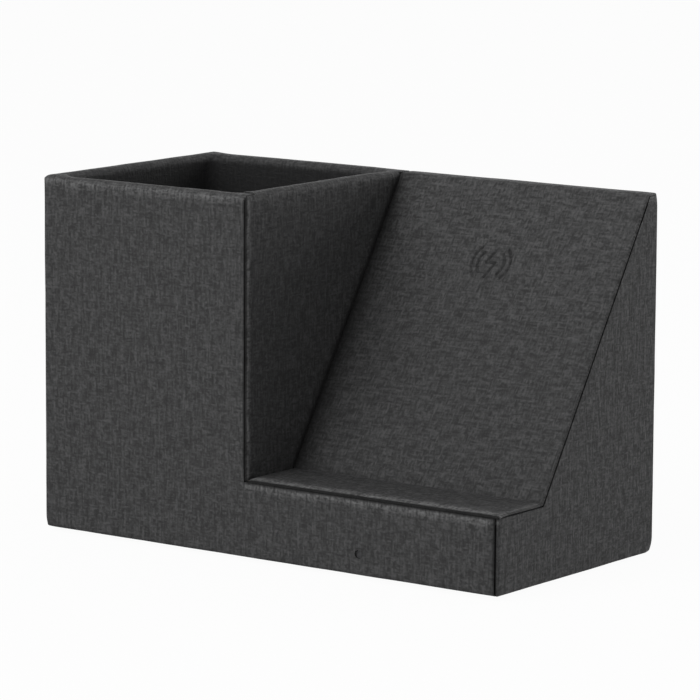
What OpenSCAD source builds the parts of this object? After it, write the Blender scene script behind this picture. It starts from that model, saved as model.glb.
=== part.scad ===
// Charging station organizer: a board box wrapped in leather, with a pen cup on the left
// and a sloped phone rest over a wireless charger on the right.
// X runs left to right, Y front to back and Z up, in millimetres.
// The origin is on the table, under the middle of the body.

/* [Body] */
// Width of the wrapped body
body_w = 180.6; // [150:0.2:220]
// Depth of the wrapped body
body_d = 87.7; // [72:0.1:110]
// Height of the wrapped body, above its base sheet
body_h = 115.9; // [95:0.1:140]
// Width of the pen cup block, up to the right face of the divider
cup_w = 83.9; // [60:0.1:100]

/* [Phone rest] */
// Height of the ledge above the body's underside
ledge_h = 25.6; // [20:0.1:35]
// Depth of the ledge, from the front face to the foot of the slope
ledge_d = 23.8; // [16:0.1:32]
// Depth of the flat crest between the slope and the back face
crest_d = 5.6; // [3.8:0.1:10]

/* [Walls] */
// Thickness of the boards
board_t = 3; // [2.8:0.1:4]
// Thickness of the leather covers
cover_t = 1; // [0.8:0.1:1.4]
// Thickness of the lining in the cup
lining_t = 0.6; // [0.3:0.1:1]
// How far the covers fold down into the cup
fold_depth = 14; // [8:1:25]
// How far the outer cover turns in under the body
turn_in = 12; // [6:1:20]
// Thickness of the pad on the cup floor
pad_t = 2; // [1:0.5:4]

/* [Edges and seams] */
// Radius of the upright corners
corner_r = 0.9; // [0.6:0.1:2.4]
// Radius of the cup rim and of the crest's front edge
edge_r = 2.2; // [0.8:0.1:2.3]
// Radius of the ledge's front edge, the crest's back edge and the bottom edges
fine_r = 1; // [0.4:0.1:1.4]
// Radius of the cup's inner corners at the mouth
mouth_r = 5; // [2.4:0.2:8]
// Width of a tucked seam between two covers
seam_gap = 0.6; // [0.3:0.1:0.8]
// Rolled edge of a cover that shows beside a seam
seam_lip = 0.7; // [0.3:0.1:0.9]
// Depth of a seam, down to the skived edge that runs under it
seam_deep = 0.6; // [0.4:0.1:0.7]
// Width of a butted seam that is pressed shut
seam_hair = 0.1; // [0.05:0.05:0.2]

/* [Base] */
// Thickness of the sheet over the underside
base_sheet_t = 0.6; // [0.4:0.1:1.2]
// Margin of that sheet inside the body's outline
base_margin = 4; // [2:0.5:8]
// Diameter of a foot
foot_d = 10; // [6:0.5:14]
// Height of a foot
foot_h = 1; // [0.6:0.1:3]
// Distance of a foot's centre from the two nearest faces
foot_inset = 13; // [10:0.5:25]

/* [Charger] */
// Diameter of the wire in the coil
wire_d = 1.1; // [0.8:0.1:1.3]
// Turns of wire in the coil
coil_turns = 9; // [6:1:11]
// Diameter of the open middle of the coil
coil_bore_d = 20; // [12:1:24]
// Thickness of the tray's face over the coil
tray_face_t = 0.8; // [0.5:0.1:1]
// Thickness of the tray's side wall
tray_wall_t = 0.8; // [0.6:0.1:1.2]
// Thickness of the ferrite disc behind the coil
ferrite_t = 0.7; // [0.4:0.1:0.8]
// Thickness of the plate that closes the tray
plate_t = 0.8; // [0.6:0.1:1.2]
// Free board between the tray and the back board, along the slope
tray_margin = 1.3; // [0.8:0.1:4]
// Width of the circuit board, across the slope
circuit_w = 44; // [36:1:60]
// Length of the circuit board, up the slope
circuit_l = 26; // [22:1:30]
// Thickness of both circuit boards
pcb_t = 1.2; // [0.8:0.1:1.6]
// Height of the posts under the circuit board
post_h = 3; // [2:0.5:5]

/* [Power inlet] */
// Height of the inlet's middle above the body's underside
inlet_up = 12; // [11:0.5:16]
// Width of the socket's metal shell
usb_w = 9; // [8.9:0.05:9.1]
// Height of the socket's metal shell
usb_h = 3.2; // [3.1:0.05:3.3]
// Length of the socket's metal shell
usb_l = 8; // [7.4:0.1:9]
// Thickness of the socket's metal
usb_wall = 0.3; // [0.2:0.05:0.35]
// Wall of the plastic bezel round the socket
bezel_wall = 1.8; // [1.2:0.1:2.5]
// Flange of the bezel behind the board
bezel_flange = 2; // [1:0.5:3]
// Width of the inlet's circuit board
inlet_w = 20; // [18:1:26]
// Length of the inlet's circuit board
inlet_l = 18; // [14:1:22]

/* [Indicator] */
// Height of the indicator above the base board
led_up = 2.7; // [2.7:0.1:5]
// Distance of the indicator to the left of the rest's middle
led_side = 4.5; // [0:0.5:20]
// Diameter of the indicator's hole
led_hole_d = 2.8; // [2:0.1:3.5]

/* [Fit] */
// Clearance round a piece that sits in a hole
fit_gap = 0.2; // [0.1:0.05:0.3]
// Room beside the coil's lead in its tray
lead_gap = 0.4; // [0.3:0.1:0.6]
// Diameter of a small screw
screw_d = 2; // [1.6:0.1:2.4]

/* [Hidden] */
$fn = 48;
// How far a cut runs past the face that it opens
cut = 1;
// Steps in a quarter or less of a drawn arc
arc_steps = 6;

// Faces of the wrapped body
x_left = -body_w / 2;
x_right = body_w / 2;
y_front = -body_d / 2;
y_back = body_d / 2;
z_under = foot_h + base_sheet_t;
z_top = z_under + body_h;

// Places inside it
x_div = x_left + cup_w;
rest_mid = (x_div + x_right) / 2;
z_ledge = z_under + ledge_h;
y_foot = y_front + ledge_d;
y_crest = y_back - crest_d;

// Wall from the outer face to the board's inner face, and the rim with its folded cover
wall_t = cover_t + board_t;
rim_t = wall_t + cover_t;
// Top of the base board
z_floor = z_under + wall_t;
// Top edge of the tucked seam under the ledge and slope covers
seam_drop = seam_lip + seam_gap;

// Tilt and length of the slope, and how far its two edges shift back for each millimetre down
slope_a = atan2(z_top - z_ledge, y_crest - y_foot);
slope_l = norm([y_crest - y_foot, z_top - z_ledge]);
edge_shift = tan(slope_a / 2);

// Coil and its tray, placed down from the crest so that the closing plate clears the back board
coil_pitch = 0.95 * wire_d;
coil_d = coil_bore_d + 2 * (wire_d + (coil_turns - 1) * coil_pitch);
tray_bore_d = coil_d + 2 * (wire_d + 2 * lead_gap);
tray_d = tray_bore_d + 2 * tray_wall_t;
plate_depth = wall_t + plate_t;
plate_run = (plate_depth * sin(slope_a) - (crest_d - wall_t)) / cos(slope_a);
coil_v = slope_l - tray_d / 2 - plate_run - tray_margin;
ear_u = tray_d / 2 + 2.5;
ear_v = -tray_d / 4;
ear_d = 7;

// Circuit board, halfway between the slope's foot and the tray
circuit_v = (coil_v - tray_d / 2) / 2;
circuit_w0 = -wall_t - post_h - pcb_t;
post_d = 5;
post_in = 3.2;
chip_side = 7;
chip_t = 0.9;
inductor_d = 7;
inductor_h = 3.2;
socket_size = [7, 4.5, 4];
socket_wall = 0.8;
power_lead_d = 2;
led_lead_d = 1.6;

// Power inlet
inlet_z = z_under + inlet_up;
bezel_w = usb_w + 2 * (fit_gap + bezel_wall);
bezel_h = usb_h + 2 * (fit_gap + bezel_wall);
flange_t = 1;
usb_y = y_back - 0.8;
inlet_y = y_back - wall_t - flange_t - fit_gap;
inlet_pcb_z = inlet_z - usb_h / 2 - pcb_t;

// Indicator
led_x = rest_mid - led_side;
led_z = z_floor + led_up;
led_d = 3;
led_flange_d = 3.8;
pipe_flange_t = 0.8;
pipe_flange_d = 4.4;
led_y = y_front + wall_t + pipe_flange_t;

// Screws
head_d = 1.9 * screw_d;
head_t = 0.6 * screw_d;
grip_l = board_t - 0.6;

FEET = [for (side = [-1, 1], end = [-1, 1])
    [side * (body_w / 2 - foot_inset), end * (body_d / 2 - foot_inset)]];
FOOT_NAMES = [for (i = [1:len(FEET)]) str("foot_", i)];

// Colours
leather = "#414141";
leather_dark = "#2c2c2c";
board_tan = "#a98a63";
plastic_black = "#1d1d1f";
plastic_white = "#d8d6cf";
copper = "#b8713a";
steel = "#b9bcc0";
pcb_green = "#1f5a3c";
rubber_black = "#151515";

// Points of an arc, in steps
function arc(c, r, a0, a1) =
    [for (i = [0:arc_steps]) let (a = a0 + (a1 - a0) * i / arc_steps) c + r * [cos(a), sin(a)]];

// One corner of an outline: an arc, or the corner itself where r is 0
function corner(p, inward, r, a0) =
    r > 0 ? arc(p + r * inward, r, a0, a0 + 90) : [p];

// Rectangle from lo to hi, with a radius for each corner from the lower left one round
function round_rect(lo, hi, r) = concat(
    corner(lo, [1, 1], r[0], 180),
    corner([hi.x, lo.y], [-1, 1], r[1], 270),
    corner(hi, [-1, -1], r[2], 0),
    corner([lo.x, hi.y], [1, -1], r[3], 90));

// Phone rest seen from the right, with its rounded edges
function rest_profile() = concat(
    corner([y_front, z_under], [1, 1], fine_r, 180),
    corner([y_back, z_under], [-1, 1], fine_r, 270),
    corner([y_back, z_top], [-1, -1], fine_r, 0),
    arc([y_crest + edge_r * edge_shift, z_top - edge_r], edge_r, 90, 90 + slope_a),
    [[y_foot, z_ledge]],
    corner([y_front, z_ledge], [1, -1], fine_r, 90));

// Plan of what the divider cover takes: the divider's rim from wall to wall, its fold in the
// cup out to the mitred corners, and the front edge beside the seam
function divider_plan(seam, hair) = [
    [x_div - seam_lip - seam, y_front - cut],
    [x_div + cut, y_front - cut],
    [x_div + cut, y_back - rim_t + hair],
    [x_div - rim_t, y_back - rim_t + hair],
    [x_div - rim_t - mouth_r, y_back - rim_t - mouth_r + hair],
    [x_div - rim_t - mouth_r, y_front + rim_t + mouth_r - hair],
    [x_div - rim_t, y_front + rim_t - hair],
    [x_div - seam_lip - seam, y_front + rim_t - hair]];

// Point on a cubic curve
function bezier(p, t) = pow(1 - t, 3) * p[0] + 3 * t * pow(1 - t, 2) * p[1]
    + 3 * t * t * (1 - t) * p[2] + pow(t, 3) * p[3];
function unit(v) = v / norm(v);

// Point in the body from a place on the slope: u across, v up and w out of it
function from_slope(u, v, w) = [rest_mid + u,
    y_foot + v * cos(slope_a) - w * sin(slope_a),
    z_ledge + v * sin(slope_a) + w * cos(slope_a)];

module block(lo, hi) {
    translate(lo) cube(hi - lo);
}

// A plan, pulled up from z0 to z1
module upright(z0, z1) {
    translate([0, 0, z0]) linear_extrude(z1 - z0) children();
}

// A profile drawn in Y and Z, pulled from x0 to x1
module along_x(x0, x1) {
    translate([x0, 0, 0]) rotate([90, 0, 90]) linear_extrude(x1 - x0) children();
}

// A profile drawn in X and Z, pulled from y0 to y1
module along_y(y0, y1) {
    translate([0, y1, 0]) rotate([90, 0, 0]) linear_extrude(y1 - y0) children();
}

// The slope's own frame: X across, Y up the slope and Z out of it
module on_slope(u, v, w) {
    translate([rest_mid, y_foot, z_ledge]) rotate([slope_a, 0, 0]) translate([u, v, w]) children();
}

// Flat oval with round ends, drawn about its middle
module oval(w, h) {
    for (side = [-1, 1]) translate([side * (w - h) / 2, 0]) circle(d = h);
    square([w - h, h], center = true);
}

// Tube swept along a cubic curve; side is a direction that the curve never runs in
module tube(p, d, side, rings = 14, sides = 8) {
    path = [for (i = [0:rings]) bezier(p, i / rings)];
    ahead = [for (i = [0:rings])
        unit(path[min(i + 1, rings)] - path[max(i - 1, 0)])];
    across = [for (a = ahead) unit(side - (side * a) * a)];
    skin = [for (i = [0:rings], k = [0:sides - 1])
        let (a = 360 * k / sides)
        path[i] + d / 2 * (cos(a) * across[i] + sin(a) * cross(ahead[i], across[i]))];
    walls = [for (i = [0:rings - 1], k = [0:sides - 1])
        let (n = (k + 1) % sides)
        [i * sides + k, (i + 1) * sides + k, (i + 1) * sides + n, i * sides + n]];
    start = [for (k = [0:sides - 1]) k];
    end = [for (k = [sides - 1:-1:0]) rings * sides + k];
    polyhedron(skin, concat(walls, [start, end]));
}

// Pan-head screw along Z, with its head seated at 0 and its shank going down
module screw(l) {
    translate([0, 0, -l]) cylinder(d = screw_d, h = l);
    difference() {
        cylinder(d = head_d, h = head_t);
        for (a = [0, 90]) rotate(a)
            translate([-head_d / 4, -screw_d / 8, head_t / 2]) cube([head_d / 2, screw_d / 4, head_t]);
    }
}

// Everything above the ledge, slope and crest once they are lowered by d
module above_rest(d, x0, x1) {
    along_x(x0, x1) polygon([
        [y_front - cut, z_top + cut],
        [y_front - cut, z_ledge - d],
        [y_foot + d * edge_shift, z_ledge - d],
        [y_crest + d * edge_shift, z_top - d],
        [y_back + wall_t + cut, z_top - d],
        [y_back + wall_t + cut, z_top + cut]]);
}

// Outer form of the cup block, rounded on its upright corners, its rim and its bottom edges,
// or the same form d further in
module cup_form(d = 0) {
    corner = max(0, corner_r - d);
    fine = max(0, fine_r - d);
    rim = max(0, edge_r - d);
    intersection() {
        upright(z_under + d, z_top - d)
            polygon(round_rect([x_left + d, y_front + d], [x_div - d, y_back - d], [corner, corner, 0, corner]));
        along_x(x_left + d, x_div - d)
            polygon(round_rect([y_front + d, z_under + d], [y_back - d, z_top - d], [fine, fine, fine, rim]));
        along_y(y_front + d, y_back - d)
            polygon(round_rect([x_left + d, z_under + d], [x_div - d, z_top - d], [fine, 0, rim, rim]));
    }
}

// Outer form of the phone rest. It reaches into the cup block below the ledge and along the
// crest, so that the front and back faces run on without a step.
module rest_form() {
    intersection() {
        union() {
            along_x(x_div, x_right) polygon(rest_profile());
            intersection() {
                along_x(x_div - rim_t / 2, x_div) polygon(rest_profile());
                union() {
                    block([x_left, y_front, z_under], [x_div, y_front + cover_t, z_ledge - seam_drop]);
                    block([x_left, y_back - rim_t, z_under], [x_div, y_back, z_top]);
                }
            }
        }
        upright(z_under, z_top)
            polygon(round_rect([x_left, y_front], [x_right, y_back], [0, corner_r, corner_r, 0]));
        along_y(y_front, y_back)
            polygon(round_rect([x_left, z_under], [x_right, z_top], [0, fine_r, fine_r, 0]));
        union() {
            along_y(y_front, y_back)
                polygon(round_rect([x_left, z_under], [x_right, z_ledge], [0, fine_r, fine_r, 0]));
            on_slope(0, 0, 0) along_y(-body_h, slope_l + body_h)
                polygon(round_rect([x_left - rest_mid, -body_h], [x_right - rest_mid, 0], [0, 0, fine_r, 0]));
        }
    }
}

// What the cup block's covers wrap: its boards, less the space for the folded covers
module cup_core() {
    difference() {
        block([x_left + cover_t, y_front + cover_t, z_under + cover_t],
            [x_div - cover_t, y_back - cover_t, z_top - cover_t]);
        block([x_left + wall_t, y_front + wall_t, z_top - fold_depth],
            [x_div - wall_t, y_back - wall_t, z_top + cut]);
    }
}

// What the phone rest's covers and the divider's cover wrap
module rest_core() {
    difference() {
        block([x_div - cover_t, y_front + cover_t, z_under + cover_t],
            [x_right - cover_t, y_back - cover_t, z_top - cover_t]);
        above_rest(cover_t, x_div, x_right);
    }
}

// The cup's mouth: its clear opening between the folded covers, with a rounded lip
module cup_mouth() {
    lo = [x_left + rim_t, y_front + rim_t];
    hi = [x_div - rim_t, y_back - rim_t];
    upright(z_top - fold_depth - cut, z_top + cut) {
        translate([lo.x + mouth_r, lo.y]) square([hi.x - lo.x - 2 * mouth_r, hi.y - lo.y]);
        translate([lo.x, lo.y + mouth_r]) square([hi.x - lo.x, hi.y - lo.y - 2 * mouth_r]);
        for (x = [lo.x + mouth_r, hi.x - mouth_r], y = [lo.y + mouth_r, hi.y - mouth_r])
            translate([x, y]) circle(r = mouth_r);
    }
    along_x(lo.x + mouth_r, hi.x - mouth_r) {
        translate([hi.y, 0]) polygon(lip_profile());
        translate([lo.y, 0]) mirror([1, 0]) polygon(lip_profile());
    }
    along_y(lo.y + mouth_r, hi.y - mouth_r) {
        translate([hi.x, 0]) polygon(lip_profile());
        translate([lo.x, 0]) mirror([1, 0]) polygon(lip_profile());
    }
    for (i = [0:3])
        translate([i == 0 || i == 3 ? hi.x - mouth_r : lo.x + mouth_r,
                i < 2 ? hi.y - mouth_r : lo.y + mouth_r, 0])
            rotate(90 * i) rotate_extrude(angle = 90)
                translate([mouth_r, 0]) polygon(lip_profile());
}

// What rounding the mouth's edge takes off the rim, measured out from the mouth's wall
function lip_profile() = concat(
    [[-cut, z_top - edge_r]],
    arc([edge_r, z_top - edge_r], edge_r, 180, 90),
    [[edge_r, z_top + cut], [-cut, z_top + cut]]);

// Hole through the front wall for the indicator
module led_hole() {
    translate([led_x, y_front - cut, led_z]) rotate([-90, 0, 0])
        cylinder(d = led_hole_d, h = wall_t + 2 * cut);
}

// Hole through the back wall for the inlet's bezel
module inlet_hole() {
    translate([rest_mid, 0, inlet_z]) along_y(y_back - wall_t - cut, y_back + cut)
        oval(bezel_w + 2 * fit_gap, bezel_h + 2 * fit_gap);
}

// Boards

module front_board() color(board_tan) difference() {
    block([x_left + cover_t, y_front + cover_t, z_under + cover_t],
        [x_right - cover_t, y_front + wall_t, z_top - cover_t]);
    block([x_div, y_front, z_ledge - wall_t], [x_right, y_back, z_top]);
    block([x_div - cover_t, y_front, z_ledge - seam_lip], [x_right, y_back, z_top]);
    led_hole();
}

module left_board() color(board_tan)
    block([x_left + cover_t, y_front + wall_t, z_under + cover_t],
        [x_left + wall_t, y_back - wall_t, z_top - cover_t]);

module back_board() color(board_tan) difference() {
    block([x_left + cover_t, y_back - wall_t, z_under + cover_t],
        [x_right - cover_t, y_back - cover_t, z_top - cover_t]);
    above_rest(cover_t, x_div, x_right);
    inlet_hole();
}

module right_board() color(board_tan) difference() {
    block([x_right - wall_t, y_front + wall_t, z_under + cover_t],
        [x_right - cover_t, y_back - wall_t, z_top]);
    above_rest(wall_t, x_div, x_right);
}

module divider_board() color(board_tan)
    block([x_div - wall_t, y_front + wall_t, z_floor],
        [x_div - cover_t, y_back - wall_t, z_top - cover_t]);

module base_board() color(board_tan)
    block([x_left + wall_t, y_front + wall_t, z_under + cover_t],
        [x_right - wall_t, y_back - wall_t, z_floor]);

module ledge_board() color(board_tan)
    along_x(x_div, x_right - cover_t) polygon([
        [y_front + cover_t, z_ledge - wall_t],
        [y_foot + wall_t * edge_shift, z_ledge - wall_t],
        [y_foot + cover_t * edge_shift, z_ledge - cover_t],
        [y_front + cover_t, z_ledge - cover_t]]);

// The sloped board is mitred to the ledge board and stops against the back board
module rest_board() color(board_tan) difference() {
    along_x(x_div, x_right - cover_t) polygon([
        [y_foot + cover_t * edge_shift, z_ledge - cover_t],
        [y_foot + wall_t * edge_shift, z_ledge - wall_t],
        [y_crest + wall_t * edge_shift, z_top - wall_t],
        [y_back + wall_t, z_top - wall_t],
        [y_back + wall_t, z_top - cover_t],
        [y_crest + cover_t * edge_shift, z_top - cover_t]]);
    block([x_left, y_back - wall_t, z_under], [x_right, y_back + wall_t + cut, z_top]);
    on_slope(0, coil_v, -wall_t - cut) cylinder(d = tray_d + 2 * fit_gap, h = wall_t);
    for (side = [-1, 1])
        on_slope(side * ear_u, coil_v + ear_v, -wall_t - cut)
            cylinder(d = screw_d + fit_gap, h = grip_l + fit_gap + cut);
    for (side = [-1, 1], end = [-1, 1])
        on_slope(side * (circuit_w / 2 - post_in), circuit_v + end * (circuit_l / 2 - post_in),
            -wall_t - cut)
            cylinder(d = screw_d + fit_gap, h = grip_l + fit_gap + cut);
}

// Covers

// One belt runs from the front over the left and the back to the right side, and its ends
// meet in the seam at the front right corner. It rolls over the cup's rim and under the body,
// and its skived edge runs under each seam.
module outer_cover() color(leather) difference() {
    union() {
        cup_form();
        rest_form();
    }
    cup_core();
    rest_core();
    cup_mouth();
    upright(z_ledge - seam_lip, z_top + cut) polygon(divider_plan(0, 0));
    above_rest(cover_t, x_div, x_right - cover_t);
    above_rest(seam_lip, x_div, x_right + cut);
    difference() {
        union() {
            upright(z_ledge - seam_drop, z_top + cut) polygon(divider_plan(seam_gap, seam_hair));
            above_rest(seam_drop, x_div, x_right + cut);
            block([x_right - cover_t - seam_gap, y_front - cut, z_under - cut],
                [x_right - cover_t, y_front + cover_t, z_ledge]);
        }
        cup_form(seam_deep);
        block([x_div - 2 * cover_t, y_front + seam_deep, z_under + seam_deep],
            [x_right - seam_deep, y_back - seam_deep, z_top - seam_lip]);
    }
    block([x_left + turn_in, y_front + turn_in, z_under - cut],
        [x_right - turn_in, y_back - turn_in, z_floor]);
    led_hole();
    inlet_hole();
}

// Right face of the divider, rolled over its rim and down into the cup
module divider_cover() color(leather) difference() {
    union() {
        intersection() {
            cup_form();
            upright(z_ledge - seam_lip, z_top + cut) polygon(divider_plan(0, 0));
        }
        block([x_div - cover_t, y_front + wall_t, z_floor],
            [x_div, y_back - wall_t, z_ledge]);
    }
    cup_core();
    cup_mouth();
}

// Ledge, slope and crest in one piece. Its edge is skived thin where it meets the seam.
module rest_cover() color(leather) {
    intersection() {
        rest_form();
        above_rest(seam_lip, x_div, x_right + cut);
    }
    intersection() {
        rest_form();
        above_rest(cover_t, x_div, x_right - cover_t);
        block([x_div, y_front + cover_t, z_under], [x_right, y_back - cover_t, z_top]);
    }
}

module cup_lining() color(leather_dark) difference() {
    block([x_left + wall_t, y_front + wall_t, z_floor],
        [x_div - wall_t, y_back - wall_t, z_top - fold_depth]);
    block([x_left + wall_t + lining_t, y_front + wall_t + lining_t, z_floor - cut],
        [x_div - wall_t - lining_t, y_back - wall_t - lining_t, z_top]);
}

module cup_floor_pad() color(leather_dark) {
    side = wall_t + lining_t + fit_gap;
    block([x_left + side, y_front + side, z_floor], [x_div - side, y_back - side, z_floor + pad_t]);
}

module base_cover() color(leather_dark)
    upright(foot_h, z_under) polygon(round_rect(
        [x_left + base_margin, y_front + base_margin], [x_right - base_margin, y_back - base_margin],
        [corner_r, corner_r, corner_r, corner_r]));

module foot(i) color(rubber_black)
    translate([FEET[i].x, FEET[i].y, 0]) rotate_extrude() polygon(concat(
        [[0, 0]],
        arc([foot_d / 2 - foot_h / 2, foot_h / 2], foot_h / 2, 270, 360),
        [[foot_d / 2, foot_h], [0, foot_h]]));

// Charger

// Shallow tray in the sloped board, with its face flush under the cover
module coil_tray() color(plastic_black) on_slope(0, coil_v, -wall_t) difference() {
    cylinder(d = tray_d, h = board_t);
    translate([0, 0, -cut])
        cylinder(d = tray_bore_d, h = board_t - tray_face_t + cut);
}

// Flat coil: its turns lie side by side, bonded edge to edge
module charging_coil() color(copper)
    on_slope(0, coil_v, -cover_t - tray_face_t - wire_d / 2)
        rotate_extrude() for (i = [0:coil_turns - 1])
            translate([(coil_bore_d + wire_d) / 2 + i * coil_pitch, 0]) circle(d = wire_d);

module ferrite_disc() color(plastic_black)
    on_slope(0, coil_v, -cover_t - tray_face_t - wire_d - ferrite_t)
        cylinder(d = coil_d, h = ferrite_t);

// Plate behind the tray, with an ear for a screw on each side and a notch for the lead
module coil_plate() color(plastic_white) on_slope(0, coil_v, -plate_depth) difference() {
    union() {
        cylinder(d = tray_d, h = plate_t);
        for (side = [-1, 1]) translate([side * ear_u, ear_v, 0]) cylinder(d = ear_d, h = plate_t);
        translate([-ear_u, ear_v - ear_d / 2, 0]) cube([2 * ear_u, ear_d, plate_t]);
    }
    for (side = [-1, 1]) translate([side * ear_u, ear_v, -cut])
        cylinder(d = screw_d + fit_gap, h = plate_t + 2 * cut);
    translate([-wire_d, -tray_d / 2 - cut, -cut])
        cube([2 * wire_d, (tray_d - coil_d) / 2 + cut, plate_t + 2 * cut]);
}

module plate_screws() color(steel) for (side = [-1, 1])
    on_slope(side * ear_u, coil_v + ear_v, -plate_depth) mirror([0, 0, 1]) screw(plate_t + grip_l);

// Places of the four posts, about the circuit board's middle
module at_posts() {
    for (side = [-1, 1], end = [-1, 1])
        translate([side * (circuit_w / 2 - post_in), end * (circuit_l / 2 - post_in), 0]) children();
}

module circuit_board() color(pcb_green) on_slope(0, circuit_v, circuit_w0) difference() {
    translate([-circuit_w / 2, -circuit_l / 2, 0]) cube([circuit_w, circuit_l, pcb_t]);
    at_posts() translate([0, 0, -cut]) cylinder(d = screw_d + fit_gap, h = pcb_t + 2 * cut);
}

module circuit_posts() color(plastic_white) on_slope(0, circuit_v, -wall_t - post_h)
    at_posts() difference() {
        cylinder(d = post_d, h = post_h);
        translate([0, 0, -cut]) cylinder(d = screw_d + fit_gap, h = post_h + 2 * cut);
    }

module circuit_screws() color(steel) on_slope(0, circuit_v, circuit_w0)
    at_posts() mirror([0, 0, 1]) screw(pcb_t + post_h + grip_l);

// What is on the circuit board's back stands down from it
module control_chip() color(plastic_black)
    on_slope(-circuit_w / 6, circuit_v, circuit_w0 - chip_t)
        translate([-chip_side / 2, -chip_side / 2, 0]) cube([chip_side, chip_side, chip_t]);

module power_inductor() color("#3a3a3e")
    on_slope(circuit_w / 8, circuit_v, circuit_w0 - inductor_h) cylinder(d = inductor_d, h = inductor_h);

// Connector for a lead, with its opening at the end that faces out of the board
module lead_socket() difference() {
    translate([-socket_size.x / 2, 0, -socket_size.z]) cube(socket_size);
    translate([-socket_size.x / 2 + socket_wall, -cut, -socket_size.z + socket_wall])
        cube([socket_size.x - 2 * socket_wall, cut + socket_size.y / 2, socket_size.z - 2 * socket_wall]);
}

module coil_socket() color(plastic_white)
    on_slope(0, circuit_v + circuit_l / 2, circuit_w0) rotate(180) lead_socket();

module power_socket() color(plastic_white)
    on_slope(0, circuit_v - circuit_l / 2, circuit_w0) lead_socket();

// Lead from the coil, out through the plate's notch and down to the circuit board
module coil_lead() color(copper) {
    v_out = coil_v - coil_d / 2 - lead_gap - wire_d / 2;
    v_in = circuit_v + circuit_l / 2 - socket_size.y / 2;
    w_in = circuit_w0 - socket_size.z / 2;
    tube([from_slope(0, v_out, -cover_t - tray_face_t - wire_d),
            from_slope(0, v_out, w_in), from_slope(0, v_out - 2, w_in), from_slope(0, v_in, w_in)],
        wire_d, [1, 0, 0]);
}

// Lead from the circuit board down to the inlet's board
module power_lead() color(plastic_black) {
    w_out = circuit_w0 - socket_size.z / 2;
    v_out = circuit_v - circuit_l / 2 + socket_size.y / 2 - fit_gap;
    start = from_slope(0, v_out, w_out);
    end = [rest_mid, inlet_y - inlet_l + 3, inlet_pcb_z + pcb_t + fit_gap];
    tube([start, from_slope(0, v_out - 14, w_out), end + [0, 0, 22], end], power_lead_d, [1, 0, 0], rings = 18);
}

// Power inlet

// Bezel in the back wall, held by its flange behind the board
module inlet_bezel() color(plastic_black) translate([rest_mid, 0, inlet_z]) difference() {
    union() {
        along_y(y_back - wall_t, y_back - fit_gap) oval(bezel_w, bezel_h);
        along_y(y_back - wall_t - flange_t, y_back - wall_t)
            oval(bezel_w + 2 * bezel_flange, bezel_h + 2 * bezel_flange);
    }
    along_y(y_back - wall_t - flange_t - cut, y_back + cut)
        oval(usb_w + 2 * fit_gap, usb_h + 2 * fit_gap);
}

module usb_shell() color(steel) translate([rest_mid, 0, inlet_z]) difference() {
    along_y(usb_y - usb_l, usb_y) oval(usb_w, usb_h);
    along_y(usb_y - usb_l - cut, usb_y + cut) oval(usb_w - 2 * usb_wall, usb_h - 2 * usb_wall);
}

// Plastic core at the back of the shell, with the contact tongue in front of it
module usb_tongue() color(plastic_black) translate([rest_mid, 0, inlet_z]) {
    tongue = [6.7, 4.6, 0.7];
    core_l = usb_l - tongue.y - 1;
    along_y(usb_y - usb_l, usb_y - usb_l + core_l) oval(usb_w - 2 * usb_wall, usb_h - 2 * usb_wall);
    translate([-tongue.x / 2, usb_y - usb_l + core_l, -tongue.z / 2]) cube(tongue);
}

// Places of the two screws in the inlet's board
module at_inlet_screws() {
    for (side = [-1, 1])
        translate([rest_mid + side * (inlet_w / 2 - 2.5), inlet_y - inlet_l / 2, inlet_pcb_z]) children();
}

module inlet_board() color(pcb_green) difference() {
    block([rest_mid - inlet_w / 2, inlet_y - inlet_l, inlet_pcb_z],
        [rest_mid + inlet_w / 2, inlet_y, inlet_pcb_z + pcb_t]);
    at_inlet_screws() translate([0, 0, -cut]) cylinder(d = screw_d + fit_gap, h = pcb_t + 2 * cut);
}

// Open carrier on the base board, with a boss for each screw
module inlet_carrier() color(plastic_white) difference() {
    wall = 5;
    block([rest_mid - inlet_w / 2, inlet_y - inlet_l, z_floor],
        [rest_mid + inlet_w / 2, inlet_y, inlet_pcb_z]);
    block([rest_mid - inlet_w / 2 + wall, inlet_y - inlet_l - cut, z_floor + 1],
        [rest_mid + inlet_w / 2 - wall, inlet_y + cut, inlet_pcb_z + cut]);
    at_inlet_screws() translate([0, 0, -grip_l - fit_gap])
        cylinder(d = screw_d + fit_gap, h = grip_l + fit_gap + cut);
}

module inlet_screws() color(steel)
    at_inlet_screws() translate([0, 0, pcb_t]) screw(pcb_t + grip_l);

// Indicator

// Clear rod in the front wall, held by its flange behind the board
module light_pipe() color("#e8ebee") translate([led_x, y_front, led_z]) rotate([-90, 0, 0]) {
    translate([0, 0, 0.7]) cylinder(d = led_hole_d - fit_gap, h = wall_t - 0.7);
    translate([0, 0, wall_t]) cylinder(d = pipe_flange_d, h = pipe_flange_t);
}

// Round lamp with a domed front, a body and a flange at its back
module indicator_led() color("#f3f6f4") translate([led_x, led_y + fit_gap, led_z]) rotate([-90, 0, 0])
    rotate_extrude() polygon(concat(
        [[0, 0]],
        arc([0, led_d / 2], led_d / 2, 285, 360),
        [[led_d / 2, 4.2], [led_flange_d / 2, 4.2], [led_flange_d / 2, 5.2], [0, 5.2]]));

// Block glued behind the front board, bored for the flange and the lamp
module led_holder() color(plastic_black) difference() {
    block([led_x - 4, y_front + wall_t, z_floor], [led_x + 4, led_y + fit_gap + 4.2, led_z + 3.4]);
    translate([led_x, y_front, led_z]) rotate([-90, 0, 0]) {
        cylinder(d = pipe_flange_d + fit_gap, h = wall_t + pipe_flange_t + fit_gap);
        cylinder(d = led_d + fit_gap, h = wall_t + 10);
    }
}

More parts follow.
